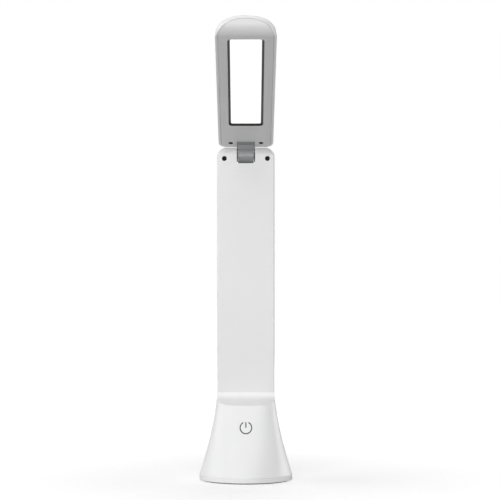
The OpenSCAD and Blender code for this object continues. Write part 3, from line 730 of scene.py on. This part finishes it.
def bump(tree, shader, height, depth):
    # depth is the relief in mm for a height of 1
    node = put(tree, "Bump", {"Height": height, "Distance": depth*mm})
    tree.links.new(node.outputs["Normal"], shader.inputs["Normal"])


dustColour = (0.55, 0.53, 0.5)


def plastic(name, colour, clouded, roughness, change=0.08, depth=0.004, dust=0.25, specular=0.5):
    material, tree, shader, where = startMaterial(name)
    spot = where.outputs["Object"]
    skin = place(tree, mouldedSkin, Vector=spot)
    film = place(tree, handlingFilm, Vector=spot, Roughness=roughness, Change=change)
    layer = place(tree, settledDust, Vector=spot, Normal=where.outputs["Normal"], Amount=dust)
    base = blendColours(tree, skin.outputs["Clouding"], colour, clouded)
    tree.links.new(blendColours(tree, layer.outputs["Mask"], base, dustColour), shader.inputs["Base Color"])
    tree.links.new(film.outputs["Roughness"], shader.inputs["Roughness"])
    shader.inputs["Specular IOR Level"].default_value = specular
    bump(tree, shader, skin.outputs["Height"], depth)
    return material


def brushedMetal(name, colour, dull, roughness):
    material, tree, shader, where = startMaterial(name)
    spot = where.outputs["Object"]
    along = put(tree, "Mapping", {"Vector": spot, "Scale": (1.0, 30.0, 30.0)})
    lines = put(tree, "TexNoise", {"Vector": along.outputs[0], "Scale": 260.0, "Detail": 3.0})
    skin = place(tree, mouldedSkin, Vector=spot, Grain=5200.0, Flow=90.0)
    film = place(tree, handlingFilm, Vector=spot, Roughness=roughness, Change=0.12)
    tree.links.new(blendColours(tree, skin.outputs["Clouding"], colour, dull), shader.inputs["Base Color"])
    tree.links.new(film.outputs["Roughness"], shader.inputs["Roughness"])
    shader.inputs["Metallic"].default_value = 1.0
    bump(tree, shader, lines.outputs[0], depth=0.008)
    return material


def circuitBoard(name, mask, copper):
    # solder mask over tracks that show through as raised lines
    material, tree, shader, where = startMaterial(name)
    spot = where.outputs["Object"]
    tracks = put(tree, "TexVoronoi", {"Vector": spot, "Scale": 320.0, "Randomness": 0.35},
                 distance="CHEBYCHEV", feature="F1")
    line = ramp(tree, tracks.outputs["Distance"], 0.3, 0.42)
    film = place(tree, handlingFilm, Vector=spot, Roughness=0.35, Change=0.1)
    tree.links.new(blendColours(tree, line, mask, copper), shader.inputs["Base Color"])
    tree.links.new(film.outputs["Roughness"], shader.inputs["Roughness"])
    bump(tree, shader, line, depth=0.02)
    return material


windowGlow = {"colour": (0.5, 0.5, 0.49), "clouding": 0.97, "glow": (0.99, 1.0, 0.96), "strength": 0.85,
              "fade": 0.9, "fadeFrom": 10.5, "fadeTo": 13.8}


def opalPlate(name, colour, clouding, glow, strength, fade, fadeFrom, fadeTo):
    # opal plastic over two rows of chips: the glow falls off a little towards the frame
    material, tree, shader, where = startMaterial(name)
    spot = where.outputs["Object"]
    skin = place(tree, mouldedSkin, Vector=spot, Grain=1800.0, Flow=30.0)
    film = place(tree, handlingFilm, Vector=spot, Roughness=0.42, Change=0.08)
    parts = put(tree, "SeparateXYZ", {0: spot})
    side = put(tree, "Math", {0: parts.outputs["X"]}, operation="ABSOLUTE")
    edge = ramp(tree, side.outputs[0], fadeFrom*mm, fadeTo*mm)
    clouded, dimmed = [c*clouding for c in colour], [c*fade for c in glow]
    base = blendColours(tree, skin.outputs["Clouding"], colour, clouded)
    tree.links.new(base, shader.inputs["Base Color"])
    tree.links.new(film.outputs["Roughness"], shader.inputs["Roughness"])
    tree.links.new(blendColours(tree, edge, glow, dimmed), shader.inputs["Emission Color"])
    shader.inputs["Emission Strength"].default_value = strength
    bump(tree, shader, skin.outputs["Height"], depth=0.004)
    return material


def rubberPad(name, colour, worn):
    material, tree, shader, where = startMaterial(name)
    spot = where.outputs["Object"]
    cells = put(tree, "TexVoronoi", {"Vector": spot, "Scale": 1400.0})
    skin = place(tree, mouldedSkin, Vector=spot, Grain=3000.0, Flow=60.0)
    tree.links.new(blendColours(tree, skin.outputs["Clouding"], colour, worn), shader.inputs["Base Color"])
    tree.links.new(ramp(tree, cells.outputs["Distance"], 0.0, 0.9, 0.75, 0.95), shader.inputs["Roughness"])
    bump(tree, shader, cells.outputs["Distance"], depth=0.03)
    return material


def fibreWasher(name, colour, thread):
    material, tree, shader, where = startMaterial(name)
    spot = where.outputs["Object"]
    stretch = put(tree, "Mapping", {"Vector": spot, "Scale": (1.0, 1.0, 0.2), "Rotation": (0.6, 0.0, 0.0)})
    fibres = put(tree, "TexNoise", {"Vector": stretch.outputs[0], "Scale": 3200.0, "Detail": 3.0})
    tree.links.new(blendColours(tree, ramp(tree, fibres.outputs[0], 0.4, 0.65), colour, thread),
                   shader.inputs["Base Color"])
    tree.links.new(ramp(tree, fibres.outputs[0], 0.3, 0.7, 0.7, 0.9), shader.inputs["Roughness"])
    bump(tree, shader, fibres.outputs[0], depth=0.02)
    return material


shellSkin = {"roughness": 0.4, "change": 0.05, "dust": 0.04, "depth": 0.002}

whitePlastic = plastic("whitePlastic", (0.825, 0.825, 0.825), (0.812, 0.812, 0.81), **shellSkin)
# painted light: the base is the same white plastic as the column, given a lighter colour to stand for the
# stronger light on its upturned front
baseWhitePaintedLighter = plastic("baseWhitePaintedLighter", (0.915, 0.915, 0.92), (0.903, 0.903, 0.905), **shellSkin)
# painted shade: the bezel is the same white plastic, given a darker colour because its face looks down,
# away from the lamps
bezelWhitePaintedShade = plastic("bezelWhitePaintedShade", (0.71, 0.71, 0.71), (0.7, 0.7, 0.7), **shellSkin)
greyPlastic = plastic("greyPlastic", (0.315, 0.32, 0.325), (0.29, 0.295, 0.3), 0.32, dust=0.06)
darkPlastic = plastic("darkPlastic", (0.02, 0.02, 0.021), (0.03, 0.03, 0.031), 0.35, dust=0.1, specular=0.3)
carrierPlastic = plastic("carrierPlastic", (0.02, 0.02, 0.02), (0.035, 0.035, 0.035), 0.5, depth=0.01)
padRubber = rubberPad("padRubber", (0.03, 0.03, 0.03), (0.055, 0.052, 0.05))
brightSteel = brushedMetal("brightSteel", (0.62, 0.62, 0.63), (0.5, 0.5, 0.51), 0.32)
# black steel of the screws, also used as painted shade on the walls of the screw recesses
blackSteelAndBoreShade = plastic("blackSteelAndBoreShade", (0.004, 0.004, 0.004), (0.008, 0.008, 0.008), 0.55, dust=0.0,
                     specular=0.12)
cellWrap = plastic("cellWrap", (0.05, 0.14, 0.42), (0.04, 0.11, 0.36), 0.22, depth=0.006, dust=0.0)
greenBoard = circuitBoard("greenBoard", (0.01, 0.09, 0.03), (0.05, 0.22, 0.09))
whiteBoard = circuitBoard("whiteBoard", (0.78, 0.78, 0.76), (0.66, 0.66, 0.63))
chipResin = plastic("chipResin", (0.8, 0.62, 0.12), (0.72, 0.54, 0.1), 0.25, depth=0.003, dust=0.0)
opal = opalPlate("opal", **windowGlow)
leadSleeve = plastic("leadSleeve", (0.45, 0.02, 0.02), (0.38, 0.015, 0.015), 0.45, depth=0.008, dust=0.0)
washerFibre = fibreWasher("washerFibre", (0.025, 0.025, 0.027), (0.05, 0.05, 0.052))
symbolInk = plastic("symbolInk", (0.02, 0.02, 0.022), (0.03, 0.03, 0.032), 0.5, dust=0.0, specular=0.2)
symbolBar = plastic("symbolBar", (0.36, 0.36, 0.37), (0.4, 0.4, 0.41), 0.4, dust=0.0)
print("finishes made")

# the base and its plate take the white with painted light
dress(makeBaseHousing(), baseWhitePaintedLighter, "stand", ["base_housing"], smoothAngle=32)
dress(cadCopy("base_plate", "basePlate"), baseWhitePaintedLighter, "stand", ["base_plate"], bevel=0.3)
symbol = dress(makePowerSymbol(), symbolInk, "stand", ["power_symbol"])
symbol.data.materials.append(symbolBar)
print("base made")
cover = dress(makeColumnHalf("columnCover", True), whitePlastic, "stand", ["column_cover"],
              bevel=0.2, bevelAngle=50)
# painted shade: the walls of the column's screw recesses are coloured black
paintBoreShade(cover, blackSteelAndBoreShade, columnForm, 0)
dress(makeColumnHalf("columnRear", False), whitePlastic, "stand", ["column_rear"],
      bevel=0.2, bevelAngle=50)
print("column made")
dress(makeHeadShell(), whitePlastic, "head", ["head_shell"])
# the bezel takes the white with painted shade
bezel = dress(makeHeadBezel(), bezelWhitePaintedShade, "head", ["head_bezel"])
# painted shade: the walls of the bezel's screw recesses are coloured black
paintBoreShade(bezel, blackSteelAndBoreShade, headForm, headForm["face"], headFrame)
dress(makeDiffuser(), opal, "head", ["diffuser"])
dress(cadCopy("window_frame", "windowFrame"), darkPlastic, "head", ["window_frame"],
      bevel=0.08)
dress(cadCopy("hinge_block", "hingeBlock"), greyPlastic, "head", ["hinge_block"],
      bevel=0.35)
print("head made")

# the nodes whose own shape stays
nodeFinishes = {
    "anti_slip_pad": padRubber, "counterweight": brightSteel, "battery_carrier": carrierPlastic,
    "battery_cell": cellWrap, "main_board": greenBoard, "usb_socket": brightSteel,
    "touch_board": greenBoard, "touch_spring": brightSteel, "base_screws": blackSteelAndBoreShade,
    "board_screws": brightSteel, "column_screws": blackSteelAndBoreShade, "column_lead": leadSleeve,
    "hinge_bracket_left": brightSteel, "hinge_bracket_right": brightSteel, "hinge_shaft": brightSteel,
    "friction_washers": washerFibre, "spring_washer": brightSteel, "shaft_nut": brightSteel,
    "led_board": whiteBoard, "led_chips": chipResin, "led_screws": brightSteel,
    "head_screws": blackSteelAndBoreShade, "head_lead": leadSleeve,
}
for node, finish in nodeFinishes.items():
    for slot in frame["nodes"][node].material_slots:
        slot.material = finish
print("finishes given to the inner parts")

# the studio's lengths are in metres; to the camera the table glows with tableLift as far out as
# liftFrom, and then brightens to white at liftTo
studio = {"ambient": 0.03, "tableHalf": 6, "tableColour": (0.56, 0.56, 0.56),
          "tableClouded": (0.55, 0.55, 0.55), "tableLift": 0.56, "liftFrom": 0.1, "liftTo": 0.75}


def makeTable():
    bm = bmesh.new()
    bmesh.ops.create_grid(bm, x_segments=8, y_segments=8, size=studio["tableHalf"])
    table = toPiece("table", bm)
    material, tree, shader, where = startMaterial("tableTop")
    spot = where.outputs["Object"]
    skin = place(tree, mouldedSkin, Vector=spot, Grain=900.0, Flow=3.0)
    base = blendColours(tree, skin.outputs["Clouding"], studio["tableColour"], studio["tableClouded"])
    tree.links.new(base, shader.inputs["Base Color"])
    shader.inputs["Roughness"].default_value = 0.9
    shader.inputs["Specular IOR Level"].default_value = 0.1
    shader.inputs["Emission Color"].default_value = (1, 1, 1, 1)
    away = put(tree, "VectorMath", {0: spot}, operation="LENGTH")
    glow = ramp(tree, away.outputs["Value"], studio["liftFrom"], studio["liftTo"], studio["tableLift"], 1.0)
    seen = put(tree, "LightPath")
    lift = put(tree, "Math", {0: seen.outputs["Is Camera Ray"], 1: glow}, operation="MULTIPLY")
    tree.links.new(lift.outputs[0], shader.inputs["Emission Strength"])
    table.data.materials.append(material)


def makeWorld():
    # white to the camera and in mirrors, and a faint fill for everything else
    world = bpy.data.worlds.new("studio")
    bpy.context.scene.world = world
    world.use_nodes = True
    tree = world.node_tree
    seen = put(tree, "LightPath")
    mirror = put(tree, "Math", {0: seen.outputs["Is Glossy Ray"], 1: seen.outputs["Is Transmission Ray"]},
                 operation="MAXIMUM")
    direct = put(tree, "Math", {0: seen.outputs["Is Camera Ray"], 1: mirror.outputs[0]},
                 operation="MAXIMUM")
    level = put(tree, "Math", {0: direct.outputs[0], 1: studio["ambient"]}, operation="MAXIMUM")
    back = tree.nodes["Background"]
    back.inputs["Color"].default_value = (1, 1, 1, 1)
    tree.links.new(level.outputs[0], back.inputs["Strength"])


def makeLamp(name, at, target, size, power, mirrored=True):
    light = bpy.data.lights.new(name, "AREA")
    light.shape = "RECTANGLE"
    light.size, light.size_y = size
    light.energy = power
    lamp = bpy.data.objects.new(name, light)
    lamp.location = at
    lamp.rotation_euler = (Vector(target) - Vector(at)).to_track_quat("-Z", "Y").to_euler()
    lamp.visible_glossy = mirrored
    bpy.context.scene.collection.objects.link(lamp)


# the two lamps on the left aren't mirrored, so that the ledge beside the column doesn't glare
lamps = {
    "frontHigh": {"at": (-0.2, -1.4, 1.7), "target": (0, 0, 0.2), "size": (1.4, 0.9), "power": 12.2},
    "front": {"at": (0, -2.4, 0.9), "target": (0, 0, 0.22), "size": (1.6, 1.0), "power": 8},
    "frontLow": {"at": (0, -2.4, 0.34), "target": (0, 0, 0.25), "size": (2.2, 0.6), "power": 20.5},
    "leftLow": {"at": (-1.7, -0.7, 0.3), "target": (0, 0, 0.15), "size": (0.8, 0.5), "power": 3.5,
                "mirrored": False},
    "leftSide": {"at": (-1.8, 0.15, 0.7), "target": (0, 0, 0.15), "size": (1.8, 1.3), "power": 14,
                 "mirrored": False},
    "rightRim": {"at": (1.6, 0.7, 0.27), "target": (0, 0, 0.15), "size": (1.4, 0.5), "power": 9},
    "rear": {"at": (0.3, 1.9, 1.0), "target": (0, 0, 0.22), "size": (1.6, 1.2), "power": 14},
}
makeTable()
makeWorld()
for name, lamp in lamps.items():
    makeLamp(name, **lamp)

view = {"at": (0, -1.922, 0.2152), "lens": 147.6, "sensor": 36, "shiftX": 0.0082, "clipEnd": 50}
cameraData = bpy.data.cameras.new("view")
cameraData.lens = view["lens"]
cameraData.sensor_width = view["sensor"]
cameraData.shift_x = view["shiftX"]
cameraData.clip_end = view["clipEnd"]
camera = bpy.data.objects.new("view", cameraData)
camera.location = view["at"]
camera.rotation_euler = (math.pi/2, 0, 0)
bpy.context.scene.collection.objects.link(camera)
bpy.context.scene.camera = camera
bpy.context.scene.view_settings.view_transform = "Standard"
print("table, lamps and camera made")
